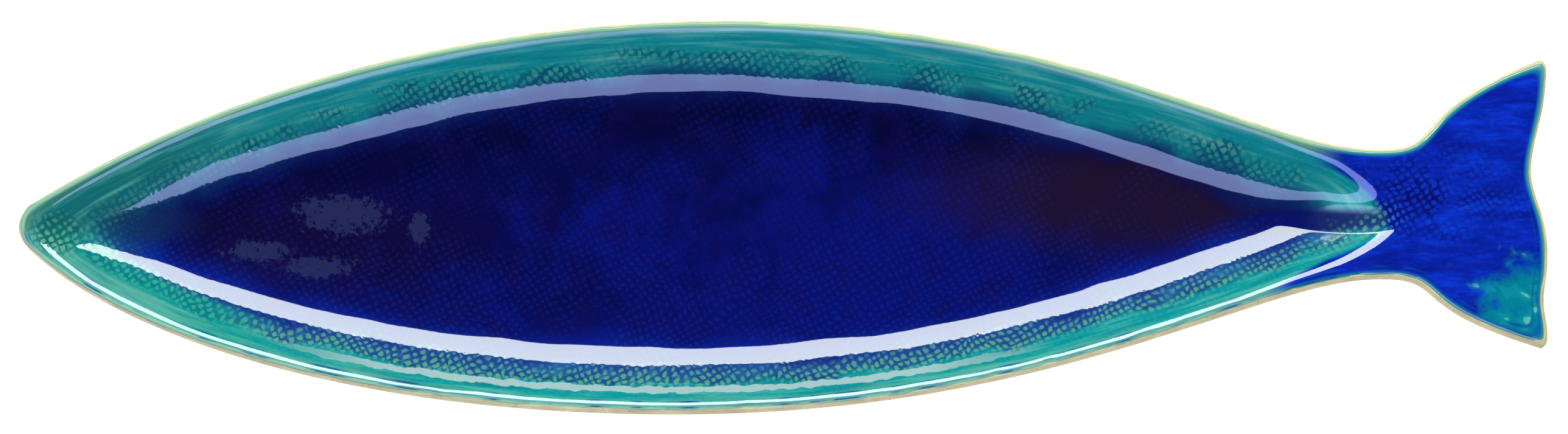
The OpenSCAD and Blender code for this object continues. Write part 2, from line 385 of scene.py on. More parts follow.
# %% [markdown]
# ## The foot ring
# A potter lays a coil of clay in an oval, presses it on and trims it level.
# A circle drawn to the oval, extruded inwards and up, gives the same square coil, and
# a bevel gives the edges that a wet sponge leaves.

# %% Foot ring
foot_low, foot_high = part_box("foot_ring")
foot_middle = (foot_low + foot_high) / 2
foot_size = foot_high - foot_low
COIL_W, FOOT_SINK = 5 * MM, 0.6 * MM
FOOT_SIDES, SPONGED_R, SPONGED_STEPS = 144, 1.1 * MM, 4
deselect()
bpy.ops.mesh.primitive_circle_add(vertices=FOOT_SIDES, radius=1, fill_type="NOTHING")
foot = bpy.context.object
foot.name = foot.data.name = "pressed_on_foot"
bpy.ops.object.mode_set(mode="EDIT")
bpy.ops.mesh.select_all(action="SELECT")
bpy.ops.transform.resize(value=(foot_size.x / 2, foot_size.y / 2, 1))
bpy.ops.mesh.extrude_region_move()
bpy.ops.transform.resize(value=(1 - 2 * COIL_W / foot_size.x, 1 - 2 * COIL_W / foot_size.y, 1))
bpy.ops.mesh.select_all(action="SELECT")
bpy.ops.mesh.extrude_region_move(
    TRANSFORM_OT_translate={"value": (0, 0, foot_size.z + FOOT_SINK)}
)
bpy.ops.mesh.select_all(action="SELECT")
bpy.ops.mesh.normals_make_consistent(inside=False)
bpy.ops.transform.translate(value=(foot_middle.x, foot_middle.y, foot_low.z))
bpy.ops.object.mode_set(mode="OBJECT")
soften = foot.modifiers.new("soften", "BEVEL")
soften.width, soften.segments, soften.limit_method = SPONGED_R, SPONGED_STEPS, "ANGLE"
bpy.ops.object.modifier_apply(modifier=soften.name)
bpy.ops.object.shade_smooth()
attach(foot, "root")
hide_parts("foot_ring")
print("foot", len(foot.data.polygons), "faces")

# %% [markdown]
# ## The glazed skin
# Molten glaze levels itself: it thins over the lip, runs down the wall and pools on the
# floor. The skin is the slab's upper face raised by that thickness, and it is then cut
# into the three glazes, which share their corners and their smooth shading, so that a
# reflection crosses from one to the next without a seam.

# %% Thickness of the glaze
COAT_T, POOL_T, BRUSHED_T, SUNK_T = 0.35 * MM, 1.0 * MM, 0.3 * MM, 0.2 * MM
# How far inside the rim the glaze ends, above and below, how that changes and how it wanders
UPPER_INSET, LOWER_INSET, SIDE_CHANGE = 0.75 * MM, 1.25 * MM, (0.05, 0.95)
NOSE_INSET_SHARE, NOSE_INSET_X = 0.5, (-205 * MM, -60 * MM)
WANDERING = ((7 * MM, 0.35 * MM), (2.5 * MM, 0.12 * MM))
# The glaze rolls over at its edge, deepens towards the floor and is brushed on thicker on the tail
ROLL_W, POOL_FROM, POOL_FULL = 0.6 * MM, 12 * MM, 30 * MM
BRUSHED_IN, BRUSHED_OFF_EDGE = 12 * MM, 5 * MM

inset = LOWER_INSET + (UPPER_INSET - LOWER_INSET) * smooth_step(v, *SIDE_CHANGE)
inset *= NOSE_INSET_SHARE + (1 - NOSE_INSET_SHARE) * smooth_step(x, *NOSE_INSET_X)
from_glaze_edge = edge - inset - waves(x, y, WANDERING)
roll = np.clip(from_glaze_edge / ROLL_W, 0, 1)
coat = COAT_T * np.sqrt(1 - (1 - roll) ** 2) - np.clip(-from_glaze_edge / 2, 0, SUNK_T)
coat += POOL_T * smooth_step(bowl, POOL_FROM, POOL_FULL)
coat += BRUSHED_T * smooth_step(-bowl, 0, BRUSHED_IN) * smooth_step(edge, 0, BRUSHED_OFF_EDGE)
skin_sheet = skin("glazed_skin", x, y, clay_top + coat * slab_lean)
for name, values in (("rim_mm", edge / MM), ("bowl_mm", bowl / MM), ("side", 2 * v - 1)):
    layer = skin_sheet.data.attributes.new(name, "FLOAT", "POINT")
    layer.data.foreach_set("value", values.astype(np.float32).ravel())
skin_sheet.data.update()
print("skin", len(skin_sheet.data.polygons), "faces")

# %% [markdown]
# ## Where the glazes part
# The turquoise coat lies all over, the cobalt pool fills the well and the brushed
# cobalt covers the tail inside a turquoise border. The cuts follow the grid's own
# lines, and the frame's boxes say where each cobalt begins and ends. The shading of
# the whole skin is kept first, because a cut edge would otherwise shade as an edge.

# %% Faces of each glaze
POOL_FROM_SIDE, BRUSHED_FROM_SIDE, KEPT_PAST_GLAZE = 16 * MM, 3.4 * MM, 0.8 * MM
skin_mesh = skin_sheet.data
corner_normals = np.zeros(len(skin_mesh.vertices) * 3, np.float32)
skin_mesh.vertex_normals.foreach_get("vector", corner_normals)
kept_normals = skin_mesh.attributes.new("skin_normal", "FLOAT_VECTOR", "POINT")
kept_normals.data.foreach_set("vector", corner_normals)


def cell(values):
    """The value at the middle of each face of the grid."""
    return (values[1:, 1:] + values[1:, :-1] + values[:-1, 1:] + values[:-1, :-1]) / 4


row_number, line_number = np.indices(cell(x).shape)
from_side_line = np.minimum(line_number, x.shape[1] - 2 - line_number)
row_x = np.median(x, axis=1)[:-1][row_number]
pool_low, pool_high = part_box("cobalt_well_pool")
brushed_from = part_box("cobalt_tail_coat")[0].x
pool_line = int(np.searchsorted(fine_offsets, POOL_FROM_SIDE))
brushed_line = int(np.searchsorted(fine_offsets, BRUSHED_FROM_SIDE))
in_pool = (row_x > pool_low.x) & (row_x < pool_high.x) & (from_side_line >= pool_line)
brushed_rows = (row_x > brushed_from) & (cell(edge) > BRUSHED_FROM_SIDE)
in_brushed = brushed_rows & (from_side_line >= brushed_line)
off_glaze = cell(edge) < np.maximum(cell(inset) - KEPT_PAST_GLAZE, SUNK_T)
print("faces of pool, tail and bare edge:", [int(part.sum()) for part in (in_pool, in_brushed, off_glaze)])

# %% [markdown]
# ## Cutting the skin into three glazes
# Each glaze is separated in edit mode and Solidify makes it a closed layer whose back
# sinks into the clay, as fired glaze does. What is left of the skin is the turquoise.


# %% Three closed glazes
def separate(faces, name):
    """Cuts the marked faces of the skin away as an object of their own."""
    deselect()
    skin_sheet.select_set(True)
    bpy.context.view_layer.objects.active = skin_sheet
    bpy.ops.object.mode_set(mode="EDIT")
    bpy.ops.mesh.select_mode(type="FACE")
    bpy.ops.mesh.select_all(action="DESELECT")
    bpy.ops.object.mode_set(mode="OBJECT")
    skin_sheet.data.polygons.foreach_set("select", faces.ravel())
    bpy.ops.object.mode_set(mode="EDIT")
    bpy.ops.mesh.separate(type="SELECTED")
    bpy.ops.object.mode_set(mode="OBJECT")
    piece = next(o for o in bpy.context.selected_objects if o != skin_sheet)
    piece.name = piece.data.name = name
    return piece


SHELL_T = 0.7 * MM


def close_layer(piece):
    """Gives a glaze its thickness and puts the shading of the whole skin back on its face."""
    deselect()
    piece.select_set(True)
    bpy.context.view_layer.objects.active = piece
    face_count = len(piece.data.polygons)
    wall = piece.modifiers.new("thickness", "SOLIDIFY")
    wall.thickness, wall.offset = SHELL_T, -1
    bpy.ops.object.modifier_apply(modifier=wall.name)
    mesh = piece.data
    normals = np.zeros(len(mesh.vertices) * 3, np.float32)
    mesh.attributes["skin_normal"].data.foreach_get("vector", normals)
    corners = np.zeros(len(mesh.loops), np.int32)
    mesh.loops.foreach_get("vertex_index", corners)
    on_face = np.zeros(len(mesh.loops), bool)
    on_face[: sum(p.loop_total for p in mesh.polygons[:face_count])] = True
    split = np.where(on_face[:, None], normals.reshape(-1, 3)[corners], 0)
    mesh.normals_split_custom_set(split.tolist())
    mesh.attributes.remove(mesh.attributes["skin_normal"])
    print(piece.name, len(mesh.polygons), "faces")


taken = np.zeros_like(off_glaze)
glazes = []
cuts = (
    ("bare_edge", off_glaze, None, None),
    ("cobalt_pool", in_pool, "cobalt_well_pool", "cobalt_pool_glaze"),
    ("cobalt_tail", in_brushed, "cobalt_tail_coat", "cobalt_brushed_glaze"),
)
for name, faces, node, slot_name in cuts:
    piece = separate((faces & ~taken)[~taken], name)
    taken |= faces
    if node is None:
        bpy.data.objects.remove(piece)
        continue
    glazes.append((piece, node, slot_name))
skin_sheet.name = skin_sheet.data.name = "turquoise_coat"
glazes.append((skin_sheet, "turquoise_base_coat", "turquoise_glaze"))
for piece, node, slot_name in glazes:
    close_layer(piece)
    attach(piece, "root")
    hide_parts(node)

# %% [markdown]
# ## Tools for the finishes
# Colours are chosen as on a screen and turned to the linear values that light needs.
# One function adds a node with its settings and links; a dictionary numbers or names
# its inputs.


# %% Node helpers
def colour(code):
    """An sRGB hex value as linear red, green, blue and full opacity."""
    parts = [int(code[k : k + 2], 16) / 255 for k in (0, 2, 4)]
    return (*[p / 12.92 if p <= 0.04045 else ((p + 0.055) / 1.055) ** 2.4 for p in parts], 1)


def add(tree, kind, inputs=None, out=0, stops=None, **settings):
    """Adds a node, fills or links its inputs and returns one of its outputs."""
    made = tree.nodes.new("ShaderNode" + kind)
    for key, value in settings.items():
        setattr(made, key, value)
    for key, value in (inputs or {}).items():
        if isinstance(value, bpy.types.NodeSocket):
            tree.links.new(value, made.inputs[key])
        else:
            made.inputs[key].default_value = value
    for number, (place, code) in enumerate(stops or []):
        ramp = made.color_ramp.elements
        stop = ramp[number] if number < 2 else ramp.new(place)
        stop.position, stop.color = place, colour(code)
    return made.outputs[out]


def material(name):
    """A new material with its node tree and its shader."""
    made = bpy.data.materials.new(name)
    made.use_nodes = True
    return made, made.node_tree, made.node_tree.nodes["Principled BSDF"]


print("turquoise in linear light", [round(part, 3) for part in colour("16737c")])

# %% [markdown]
# ## Ways of working
# Most changes over a glaze are soft: they start at one place and are full at another.
# A span holds both places and what is given there, ready for a Map Range node. A patch
# is such a change round a middle, and a coat is a colour that shows where a share says
# so. Nearly all of the finish is made of these three.

# %% Spans, patches and coats
SOFT = {"interpolation_type": "SMOOTHSTEP"}


def span(start, full, most=1.0, least=0.0):
    """Inputs of a Map Range node: where it starts, where it is full, and what it gives there."""
    return {1: start, 2: full, 3: least, 4: most}


# Most of a noise lies between these two values, and the opposite of a share runs down from one
NOISE = (0.3, 0.7)
OPPOSITE = span(0.0, 1.0, 0.0, 1.0)


def overlap(tree, *shares):
    """Where several shares hold at once."""
    held = shares[0]
    for share in shares[1:]:
        held = add(tree, "Math", {0: held, 1: share}, operation="MULTIPLY")
    return held


def away_from(tree, value, line):
    """Distance from a line, on either side of it."""
    off = add(tree, "Math", {0: value, 1: line}, operation="SUBTRACT")
    return add(tree, "Math", {0: off}, operation="ABSOLUTE")


def patch(tree, at, middle, reach, start, full, most):
    """A soft oval: its middle and half axes in mm, and the shares of them where it starts and is full."""
    off = add(tree, "VectorMath", {0: at.place, 1: (*middle, 0.0)}, operation="SUBTRACT")
    off = add(tree, "VectorMath", {0: off, 1: (1 / reach[0], 1 / reach[1], 0.0)}, operation="MULTIPLY")
    off = add(tree, "VectorMath", {0: off}, operation="LENGTH", out=1)
    return add(tree, "MapRange", {0: off, **span(start, full, most)}, **SOFT)


def by_distance(tree, distance, stops, reach):
    """The colour at a distance in millimetres, from a list of distances and colours."""
    share = add(tree, "Math", {0: distance, 1: reach}, operation="DIVIDE")
    return add(tree, "ValToRGB", {0: share}, stops=[(mm / reach, code) for mm, code in stops])


def coats(tree, base, *layers):
    """Lays coats over a base in turn: each is how much of it shows, and its colour."""
    for share, tone in layers:
        tone = colour(tone) if isinstance(tone, str) else tone
        base = add(tree, "Mix", {0: share, 6: base, 7: tone}, out=2, data_type="RGBA")
    return base


print("a noise is used between", NOISE[0], "and", NOISE[1])

# %% [markdown]
# ## The glaze
# A slab printed with sacking lies under a clear coloured glaze. Where a gap between
# threads left a bump the glaze is thin and breaks pale, and where a thread pressed in
# it pools dark blue. Down the wall the colour follows the thickness, from olive on the
# lip through turquoise to ink blue on the floor, so the distance from the rim drives
# one ramp of colours. One network serves the three glazes, as they run into each other
# in the kiln; they keep separate materials, so that each can be changed by itself.

# %% Colours of the glaze
# Distance inside the edge of the bowl in millimetres and the colour there, for each wall
UPPER_STOPS = (
    (0.0, "5d7f5c"), (1.6, "577d52"), (2.6, "3f8079"), (3.6, "0f7c80"), (9.0, "0c7a76"), (12.0, "0a6a70"),
    (14.0, "0a4860"), (16.5, "07184a"), (20.0, "050a3e"), (23.0, "03042c"), (28.0, "02032a"),
    (34.0, "030434"),
)
# On the lower wall the pale stops from 2.6 to 3.8 mm are partly thin glaze on the lip and partly painted
# reflection: the soft inner edge of the key light's hair line in the lip
LOWER_STOPS = (
    (0.0, "3c7f78"), (2.6, "4f8684"), (3.8, "34867e"), (4.6, "047d80"), (8.4, "067b82"), (9.4, "1c6478"),
    (11.0, "1c5a84"), (13.0, "1a4480"), (15.0, "0a2068"), (18.0, "05146c"), (24.0, "040848"),
    (34.0, "030434"),
)
WALL_REACH = 36.0
# How strongly the sacking shows and the colours of its bumps, by the same distance
PRINT_STOPS = (
    (0.0, "303030"), (3.0, "303030"), (7.0, "505050"), (9.0, "e8e8e8"), (14.0, "e0e0e0"), (17.0, "a0a0a0"),
    (24.0, "747474"), (31.0, "888888"),
)
DOT_STOPS = (
    (0.0, "6f8f62"), (8.0, "58875c"), (12.5, "4a7f62"), (14.5, "1c4866"), (17.0, "0c3a80"), (20.0, "082a86"),
    (31.0, "0c1e6e"),
)
# Distance from the rim and the colour where the glaze thins out over it, on the bowl and on the tail
EDGE_STOPS = ((0.0, "6c8064"), (0.8, "6d8b72"), (1.6, "7ba68a"), (2.6, "3f8079"))
TAIL_STOPS = ((0.2, "717e65"), (0.8, "6a887c"), (1.3, "42817f"), (1.8, "0e6181"), (2.4, "0c3f84"))
EDGE_REACH = 2.8
print("wall colours over", WALL_REACH, "mm and rim colours over", EDGE_REACH, "mm")

# %% [markdown]
# ## What the colours follow
# A glaze is painted by gravity, so its colours follow the form: how far along the fish a
# place lies, how deep in the bowl, how near the rim, and on which of the two walls.
# The skin carries these distances as attributes, and they are read once for all that
# follows. The depth is let to drift by two millimetres, because running glaze never
# stops at a ruled line, and a noise drawn out along the wall gives the brush's streaks.

# %% Places on the platter
LOWER_SIDE = span(0.1, -0.3)
DRIFT_L, DRIFT_MM = 16.667, 2.2
OFF_LIP = span(2.5, 8.0)
SHALLOW, DEEP = span(15.0, 9.0), span(17.0, 23.0)
STREAK_L, STREAK_W = 28.57, 1.613


def places(tree):
    """The place and the distances in millimetres, the two walls, the depth and the streaks."""
    at = SimpleNamespace()
    at.place = add(tree, "VectorMath", {0: add(tree, "TexCoord", out=3), "Scale": 1 / MM}, operation="SCALE")
    at.x = add(tree, "SeparateXYZ", {0: at.place})
    at.rim = add(tree, "Attribute", out=2, attribute_name="rim_mm")
    at.bowl = add(tree, "Attribute", out=2, attribute_name="bowl_mm")
    at.side = add(tree, "Attribute", out=2, attribute_name="side")
    at.lower = add(tree, "MapRange", {0: at.side, **LOWER_SIDE}, **SOFT)
    at.upper = add(tree, "MapRange", {0: at.lower, **OPPOSITE})
    drift = add(tree, "TexNoise", {"Vector": at.place, "Scale": 1 / DRIFT_L, "Detail": 4.0})
    drift = add(tree, "MapRange", {0: drift, **span(*NOISE, DRIFT_MM, -DRIFT_MM)})
    off_lip = add(tree, "MapRange", {0: at.bowl, **OFF_LIP})
    at.level = add(tree, "Math", {0: drift, 1: off_lip, 2: at.bowl}, operation="MULTIPLY_ADD")
    at.shallow = add(tree, "MapRange", {0: at.level, **SHALLOW})
    at.deep = add(tree, "MapRange", {0: at.level, **DEEP}, **SOFT)
    along = add(tree, "Math", {0: at.x, 1: STREAK_L}, operation="DIVIDE")
    across = add(tree, "Math", {0: at.bowl, 1: STREAK_W}, operation="DIVIDE")
    flow = add(tree, "CombineXYZ", {0: along, 1: across, 2: at.side})
    at.streak = add(tree, "TexNoise", {"Vector": flow, "Scale": 1.0, "Detail": 5.0, "Roughness": 0.65})
    return at


print("streaks about", STREAK_L, "mm long and", STREAK_W, "mm wide")

# %% [markdown]
# ## The wall
# The wall is where the turquoise shows. The glaze lies thinner on the lower side, so each
# side has its own run of colours; just inside the lower lip that run is partly painted
# reflection. Towards the nose it is greener and calmer, with a pale, worn strip under the
# lower lip, and painted shade darkens the keel and the upper wall there. Thin coats laid
# in turn make each of these a line that can be changed by itself.

# %% Colour of the wall
# Along the fish: where each change at the nose starts, where it is full, and its share there; NOSE_SHADY is
# painted shade on the upper wall
NOSE_GREEN, NOSE_CALM = span(-110.0, -190.0, 0.9), span(-140.0, -160.0, 0.85)
NOSE_PALE, NOSE_SHADY = span(-158.0, -178.0, 0.9), span(-150.0, -175.0, 0.75)
# Down the wall: the strip under the lip, what lies before the bright band, and the streaked part
LIP_STRIP, BEFORE_BAND, STREAKED = span(8.0, 6.0), span(13.5, 11.5), span(13.0, 9.0)
WORN_STRIP, PALE_STREAK, DARK_STREAK = span(0.4, 0.6, 1.0, 0.25), span(0.5, 0.7, 0.8), span(0.48, 0.3, 0.6)
GREENER = {"Hue": 0.478, "Saturation": 0.96}
# Painted shade in the keel near the nose: its middle and half axes in mm, where it starts and is full, and
# its share
NOSE_KEEL_PAINTED_SHADE = ((-180.0, -1.0), (16.0, 6.0), 1.25, 0.35, 0.9)


def wall_colour(tree, at):
    """Turquoise that follows the depth, with what differs at the nose and the streaks."""
    upper_wall = by_distance(tree, at.level, UPPER_STOPS, WALL_REACH)
    lower_wall = by_distance(tree, at.level, LOWER_STOPS, WALL_REACH)
    wall = coats(tree, upper_wall, (at.lower, lower_wall))
    green = overlap(tree, add(tree, "MapRange", {0: at.x, **NOSE_GREEN}), at.shallow)
    wall = add(tree, "HueSaturation", {**GREENER, "Fac": green, "Color": wall})
    calm = add(tree, "MapRange", {0: at.x, **NOSE_CALM})
    at.calm = overlap(tree, calm, at.lower, add(tree, "MapRange", {0: at.bowl, **BEFORE_BAND}))
    shady = add(tree, "MapRange", {0: at.x, **NOSE_SHADY})
    at.shady = overlap(tree, shady, at.shallow, at.upper)
    strip = add(tree, "MapRange", {0: at.bowl, **LIP_STRIP})
    worn = add(tree, "MapRange", {0: at.streak, **WORN_STRIP})
    pale_nose = overlap(tree, add(tree, "MapRange", {0: at.x, **NOSE_PALE}), strip, at.lower, worn)
    streaked = add(tree, "MapRange", {0: at.bowl, **STREAKED})
    pale_streak = add(tree, "MapRange", {0: at.streak, **PALE_STREAK})
    dark_streak = add(tree, "MapRange", {0: at.streak, **DARK_STREAK})
    return coats(
        tree,
        wall,
        (at.calm, "047a74"),
        (pale_nose, "4a8a80"),
        # painted shade on the upper wall near the nose
        (at.shady, "125f5a"),
        # painted shade in the keel crease at the nose
        (patch(tree, at, *NOSE_KEEL_PAINTED_SHADE), "0c1e45"),
        (overlap(tree, pale_streak, streaked), "4f9a8c"),
        (overlap(tree, dark_streak, streaked), "0a5460"),
    )


print("wall:", len(UPPER_STOPS), "stops above and", len(LOWER_STOPS), "below")

# %% [markdown]
# ## The floor
# On the floor the two glazes lie a millimetre thick and look like ink. Cobalt clouds and
# violet ones drift in it, brightest in the middle. Near the nose it is dusky, with ragged
# grey patches that are painted reflections of lights overhead, and near the tail it has a brown cast.

# %% Colour of the floor
CLOUD_L, VIOLET_L, RAGGED_L = 20.0, 9.091, 2.0
CLOUDS, VIOLETS = span(0.5, 0.82, 0.9), span(0.48, 0.66, 0.6)
BRIGHT_MIDDLE = ((6.0, -11.0), (92.0, 34.0), 1.3, 0.3, 0.25)
DUSK_AT_NOSE = ((-132.0, -6.0), (48.0, 17.0), 1.3, 0.2, 0.6)
BROWN_AT_TAIL = ((96.0, 8.0), (66.0, 19.0), 1.2, 0.3, 0.85)
BLUE_IN_CREASE = ((150.0, -0.5), (26.0, 3.6), 1.2, 0.6, 0.95)
# Middle and half axes of each painted reflection patch, how its edge fades, and how ragged that edge is
REFLECTION_PATCHES = (
    ((-125.0, 2.0), (17.0, 7.0)),
    ((-148.0, -8.5), (12.0, 4.0)),
    ((-132.0, -13.0), (13.0, 4.0)),
    ((-103.0, -1.5), (4.0, 6.0)),
)
REFLECTION_FADE = (1.25, 0.3, 0.85)
REFLECTION_RAGGED, REFLECTION_EDGE = span(0.35, 0.65, 0.3, -0.6), span(0.3, 0.45, 0.9)


def floor_colour(tree, at, wall):
    """Ink blue with its clouds, and grey patches of painted reflection, laid over the colours of the wall.
    """
    cloud = {"Vector": at.place, "Scale": 1 / CLOUD_L, "Detail": 5.0, "Roughness": 0.65}
    brighter = patch(tree, at, *BRIGHT_MIDDLE)
    cloud = add(tree, "Math", {0: add(tree, "TexNoise", cloud), 1: brighter}, operation="ADD")
    cloud = add(tree, "MapRange", {0: cloud, **CLOUDS}, **SOFT)
    violet = {"Vector": at.place, "Scale": 1 / VIOLET_L, "Detail": 6.0, "Roughness": 0.7}
    violet = add(tree, "MapRange", {0: add(tree, "TexNoise", violet), **VIOLETS})
    ragged = {"Vector": at.place, "Scale": 1 / RAGGED_L, "Detail": 5.0, "Roughness": 0.75}
    reflection_share = add(tree, "MapRange", {0: add(tree, "TexNoise", ragged), **REFLECTION_RAGGED})
    nearest = 0.0
    for middle, reach in REFLECTION_PATCHES:
        one = patch(tree, at, middle, reach, *REFLECTION_FADE)
        nearest = add(tree, "Math", {0: one, 1: nearest}, operation="MAXIMUM")
    reflection_share = add(tree, "Math", {0: nearest, 1: reflection_share}, operation="ADD")
    return coats(
        tree,
        wall,
        (overlap(tree, cloud, at.deep), "040b58"),
        (overlap(tree, violet, at.deep), "0b053c"),
        (overlap(tree, patch(tree, at, *DUSK_AT_NOSE), at.deep), "0e0521"),
        # grey patches: painted reflections of lights overhead
        (add(tree, "MapRange", {0: reflection_share, **REFLECTION_EDGE}), "1d2042"),
        (overlap(tree, patch(tree, at, *BROWN_AT_TAIL), at.deep), "180c20"),
        (patch(tree, at, *BLUE_IN_CREASE), "050a4c"),
    )


print("floor:", len(REFLECTION_PATCHES), "milky patches, clouds about", CLOUD_L, "mm across")

# %% [markdown]
# ## The brushed tail
# Cobalt was laid on the tail with a wide soft brush after the turquoise, so it shows the
# strokes of the hairs: a noise drawn out along the stroke gives them. The brush missed
# the lower tip, where the turquoise lies in rings, pale on one side and blue on the other.

# %% Colour of the tail
# Along the fish the brush laps over the lip of the bowl, and further on the lower side
OVER_LIP, BRUSHED_LIP = span(134.0, 152.0, -3.6), span(2.6, 1.2)
BRUSH_START, BRUSH_EDGE = span(0.0, 1.0, 136.0, 150.0), span(-4.0, 8.0)
STROKE_TURN, STROKE_L, STROKE_W = -14.0, 16.667, 4.0
COBALT_STOPS = ((0.3, "040f64"), (0.5, "051c89"), (0.7, "0831b2"))
BLOT_L, BARE_TIP = 5.882, ((210.0, -29.0), (24.0, 22.0), 1.15, 0.1, 1.0)
TIP_RAGGED, TIP_EDGE = span(*NOISE, 0.2, -0.25), span(0.16, 0.7)
# The rings in the pooled turquoise: pale crystals at the one end and blue at the other
TIP_STOPS = (
    (0.38, "03568a"), (0.40, "02607c"), (0.50, "026c77"), (0.515, "025c6c"), (0.53, "026f7a"),
    (0.64, "0a7480"), (0.66, "3a9484"), (0.70, "4f9c88"),
)


def tail_colour(tree, at):
    """Brushed cobalt with the bare tip, and where on the platter it lies."""
    lapped = add(tree, "MapRange", {0: at.x, **OVER_LIP})
    lapped = add(tree, "Math", {0: at.bowl, 1: lapped}, operation="ADD")
    lapped = add(tree, "MapRange", {0: lapped, **BRUSHED_LIP}, **SOFT)
    start = add(tree, "MapRange", {0: at.lower, **BRUSH_START})
    past_start = add(tree, "Math", {0: at.x, 1: start}, operation="SUBTRACT")
    at.brushed = overlap(tree, lapped, add(tree, "MapRange", {0: past_start, **BRUSH_EDGE}, **SOFT))
    turned = (0.0, 0.0, math.radians(STROKE_TURN))
    strokes = add(tree, "Mapping", {0: at.place, 2: turned, 3: (1 / STROKE_L, 1 / STROKE_W, 1.0)})
    strokes = add(tree, "TexNoise", {"Vector": strokes, "Scale": 1.0, "Detail": 6.0, "Roughness": 0.75})
    blot = add(tree, "TexNoise", {"Vector": at.place, "Scale": 1 / BLOT_L, "Detail": 3.0, "Distortion": 0.3})
    bare = add(tree, "MapRange", {0: blot, **TIP_RAGGED})
    bare = add(tree, "Math", {0: patch(tree, at, *BARE_TIP), 1: bare}, operation="ADD")
    bare = add(tree, "MapRange", {0: bare, **TIP_EDGE}, **SOFT)
    cobalt = add(tree, "ValToRGB", {0: strokes}, stops=COBALT_STOPS)
    return coats(tree, cobalt, (bare, add(tree, "ValToRGB", {0: blot}, stops=TIP_STOPS)))


print("tail: strokes", STROKE_W, "mm wide, turned by", STROKE_TURN, "degrees")

# %% [markdown]
# ## The print of the sacking
# Coarse hessian has a thread about every two millimetres. Two sets of threads cross, so
# the product of two waves is high at each gap between them. A slow noise pulls the
# cloth out of square, and a fine one makes each bump a little different.

# %% Threads of the sacking
THREAD_MM, THREAD_TURNS = 1.95, (30.0, -60.0)
PULL_L, PULL_MM = 14.286, 7.0
FLECK_L, FLECK = 1.25, 0.22


def sacking(tree, at):
    """Height of the print: high in the gaps between threads and low under a thread."""
    pull = add(tree, "TexNoise", {"Vector": at.place, "Scale": 1 / PULL_L, "Detail": 3.0}, out=1)
    pull = add(tree, "VectorMath", {0: pull, 1: (0.5, 0.5, 0.5)}, operation="SUBTRACT")
    pull = add(tree, "VectorMath", {0: pull, "Scale": PULL_MM}, operation="SCALE")
    cloth = add(tree, "VectorMath", {0: at.place, 1: pull}, operation="ADD")
    threads = []
    for degrees in THREAD_TURNS:
        turned = math.radians(degrees)
        way = (-math.sin(turned) * math.tau / THREAD_MM, math.cos(turned) * math.tau / THREAD_MM, 0.0)
        phase = add(tree, "VectorMath", {0: cloth, 1: way}, operation="DOT_PRODUCT", out=1)
        crest = add(tree, "Math", {0: phase}, operation="COSINE")
        threads.append(add(tree, "MapRange", {0: crest, **span(-1.0, 1.0)}))
    fleck = add(tree, "TexNoise", {"Vector": at.place, "Scale": 1 / FLECK_L, "Detail": 3.0})
    fleck = add(tree, "MapRange", {0: fleck, **span(*NOISE, FLECK, -FLECK)})
    return add(tree, "Math", {0: threads[0], 1: threads[1], 2: fleck}, operation="MULTIPLY_ADD")


print("a thread every", THREAD_MM, "mm, two ways")

# %% [markdown]
# ## Where the print shows
# The print isn't even. It is clearest where the wall is steep and faint under deep
# glaze, so one ramp follows the depth. A slow noise leaves it out in places, and three
# patches keep it at the nose, on the tail and in the crease between them.

# %% Where the sacking shows
WEAR_L, WORN = 20.0, span(0.4, 0.62)
# How much of the print is kept on the upper wall, on the lower one and at the nose
KEPT_BY_WALL, KEPT_AT_NOSE = span(0.0, 1.0, 0.11, 0.035), span(-165.0, -195.0, 0.2)
NOSE_PRINT = ((-204.0, -4.5), (8.0, 6.5), 1.4, 0.5, 1.0)
TAIL_PRINT = ((183.0, 7.0), (25.0, 15.0), 1.3, 0.3, 0.9)
CREASE_PRINT = ((166.0, 1.0), (13.0, 7.0), 1.3, 0.3, 0.9)
# The print fades under the painted shade on the upper wall near the nose
SHADY_PRINT = span(0.0, 0.7, 0.22, 1.0)
# The print is fainter where the glaze over it is deep
UNDER_GLAZE = span(14.0, 19.0, 0.25, 1.0)


def printed_share(tree, at):
    """How much of the print shows at each place."""
    wear = {"Vector": at.place, "Scale": 1 / WEAR_L, "Detail": 3.0, "Roughness": 0.6, "Distortion": 0.4}
    kept = add(tree, "TexNoise", wear)
    by_wall = add(tree, "MapRange", {0: at.lower, **KEPT_BY_WALL})
    for more in (by_wall, add(tree, "MapRange", {0: at.x, **KEPT_AT_NOSE})):
        kept = add(tree, "Math", {0: kept, 1: more}, operation="ADD")
    kept = add(tree, "MapRange", {0: kept, **WORN}, **SOFT)
    at.nose_print = patch(tree, at, *NOSE_PRINT)
    on_tail = overlap(tree, patch(tree, at, *TAIL_PRINT), at.brushed)
    shows = by_distance(tree, at.level, PRINT_STOPS, WALL_REACH)
    for more in (at.nose_print, on_tail, patch(tree, at, *CREASE_PRINT)):
        shows = add(tree, "Math", {0: shows, 1: more}, operation="MAXIMUM")
    in_shade = add(tree, "MapRange", {0: at.shady, **SHADY_PRINT})
    in_shade = add(tree, "Math", {0: in_shade, 1: at.nose_print}, operation="MAXIMUM")
    at.under_glaze = add(tree, "MapRange", {0: at.level, **UNDER_GLAZE})
    return overlap(tree, shows, kept, in_shade)


print("the print wears off in places about", WEAR_L, "mm wide")

# %% [markdown]
# ## Colours of the print
# Glaze pools dark where a thread lay and thins pale over a bump. Both tones change with
# the glaze round them, so each is a short run of coats with a share for every place.

# %% Colours of the print
THREAD_EDGE, BUMP_EDGE, SMALLER_AT_NOSE = span(0.3, 0.0), span(0.2, 0.6), -0.2
BUMPS_BY_WALL = span(0.0, 1.0, 0.95, 0.5)
PALE_IN_CREASE = ((165.0, 0.0), (9.0, 5.0), 1.3, 0.2, 0.8)


